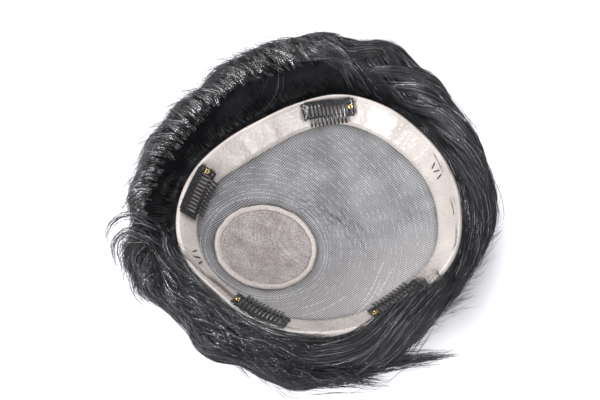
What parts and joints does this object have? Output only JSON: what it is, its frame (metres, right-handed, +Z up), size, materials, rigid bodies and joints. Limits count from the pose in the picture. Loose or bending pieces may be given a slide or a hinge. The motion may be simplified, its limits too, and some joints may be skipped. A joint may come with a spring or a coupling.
{
  "type": "toupee hairpiece",
  "caption": "Clip-in toupee lying on its short dark hair with the base's hollow up: net dome, soft edge band, round crown patch and sewn snap clips.",
  "frame": {"origin": "middle of the bounding box, on the surface that the hair lies on", "axes": "+X along the base's centre line towards its wide front end, +Y to the base's left side in this view, +Z up out of the hollow"},
  "size_m": [0.2286, 0.2244, 0.0552],
  "materials": {
    "net": "fine pale monofilament net over dark hair",
    "rim_band": "soft coated ivory skin, slightly glossy, stitched along both edges",
    "crown_patch": "dotted flesh-tone silk base with knots of hair",
    "patch_border": "smooth pale ribbon",
    "hair": "straight to wavy natural black hair with a cool sheen",
    "clip_steel": "black painted spring steel, half gloss",
    "eyelet_brass": "bright rolled eyelet"
  },
  "bodies": {
    "root": {"net": "net", "rim_band": "rim_band", "crown_patch": "crown_patch", "patch_border": "patch_border", "hair": "hair", "clip_front_left": "clip_steel", "clip_back_left": "clip_steel", "clip_back_right": "clip_steel", "clip_front_right": "clip_steel", "eyelet_front_left": "eyelet_brass", "eyelet_back_left": "eyelet_brass", "eyelet_back_right": "eyelet_brass", "eyelet_front_right": "eyelet_brass"}
  },
  "joints": []
}
